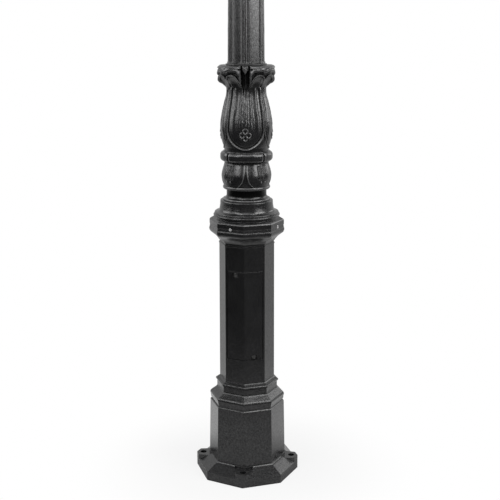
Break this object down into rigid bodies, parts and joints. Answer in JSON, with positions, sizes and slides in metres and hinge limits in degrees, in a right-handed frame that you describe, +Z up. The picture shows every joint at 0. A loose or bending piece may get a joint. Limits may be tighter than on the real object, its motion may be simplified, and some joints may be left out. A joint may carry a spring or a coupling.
{
  "type": "lamp post",
  "caption": "Black cast garden lamp post with an octagonal bolt-down base, access door, leaf-carved vase, fluted tapered shaft and a lantern spigot.",
  "frame": {"origin": "centre of the base's underside, on the ground and on the post's axis", "axes": "+Z up along the post towards the lantern; the access door and one corner of the octagon face -Y"},
  "size_m": [0.264, 0.264, 2.246],
  "materials": {
    "black_cast": "satin black powder coat on cast metal, fine grain",
    "black_screw": "black oxide",
    "galvanised_steel": "dull galvanised",
    "zinc_steel": "bright zinc plate",
    "bright_screw": "bare metal, worn by the key",
    "door_screw_steel": "darkened stainless",
    "cast_aluminium": "as cast",
    "black_rubber": "matte",
    "dark_moulding": "moulded thermoset",
    "grey_moulding": "moulded plastic",
    "fuse_body": "glazed ceramic barrel",
    "copper_alloy": "spring bronze",
    "terminal_brass": "machined brass",
    "gland_nylon": "black nylon"
  },
  "bodies": {
    "post": {"base_casting": "black_cast", "column_casting": "black_cast", "capital_casting": "black_cast", "vase_casting": "black_cast", "fluted_shaft": "black_cast", "shaft_head": "black_cast", "head_screws": "black_screw", "centre_tube": "galvanised_steel", "tube_foot_plate": "galvanised_steel", "foot_plate_bolts": "zinc_steel", "shaft_foot_bush": "cast_aluminium", "shaft_guide_ring": "cast_aluminium", "joint_ring": "cast_aluminium", "capital_set_screws": "bright_screw", "plinth_bolts": "zinc_steel", "plinth_washers": "zinc_steel", "door_gasket": "black_rubber", "gear_tray": "galvanised_steel", "tray_screws": "zinc_steel", "cutout_base": "dark_moulding", "cutout_screws": "zinc_steel", "fuse_contacts": "copper_alloy", "line_terminals": "terminal_brass", "terminal_screws": "zinc_steel", "cable_glands": "gland_nylon", "gland_nuts": "gland_nylon", "earth_stud": "terminal_brass", "earth_nuts": "terminal_brass", "earth_washers": "zinc_steel"},
    "door": {"access_door": "black_cast", "door_screw_retainers": "zinc_steel"},
    "upper_screw": {"door_screw_upper": "door_screw_steel"},
    "lower_screw": {"door_screw_lower": "door_screw_steel"},
    "cover": {"terminal_cover": "grey_moulding"},
    "cover_screw": {"terminal_cover_screw": "zinc_steel"},
    "carrier": {"fuse_carrier": "dark_moulding", "fuse_link": "fuse_body"}
  },
  "joints": [
    {"name": "door_lift_off", "type": "slide", "parent": "post", "child": "door", "axis": [0, -1, 0], "range_m": [0, 0.15]},
    {"name": "upper_door_screw_turn", "type": "hinge", "parent": "door", "child": "upper_screw", "pos_m": [-0.022, -0.058, 0.5315], "axis": [0, -1, 0], "continuous": true},
    {"name": "lower_door_screw_turn", "type": "hinge", "parent": "door", "child": "lower_screw", "pos_m": [0.022, -0.059, 0.321], "axis": [0, -1, 0], "continuous": true},
    {"name": "terminal_cover_lift_off", "type": "slide", "parent": "post", "child": "cover", "axis": [0, -1, 0], "range_m": [0, 0.03]},
    {"name": "cover_screw_turn", "type": "hinge", "parent": "cover", "child": "cover_screw", "pos_m": [0, 0.005, 0.424], "axis": [0, -1, 0], "continuous": true},
    {"name": "fuse_carrier_pull_out", "type": "slide", "parent": "post", "child": "carrier", "axis": [0, -1, 0], "range_m": [0, 0.032]}
  ]
}
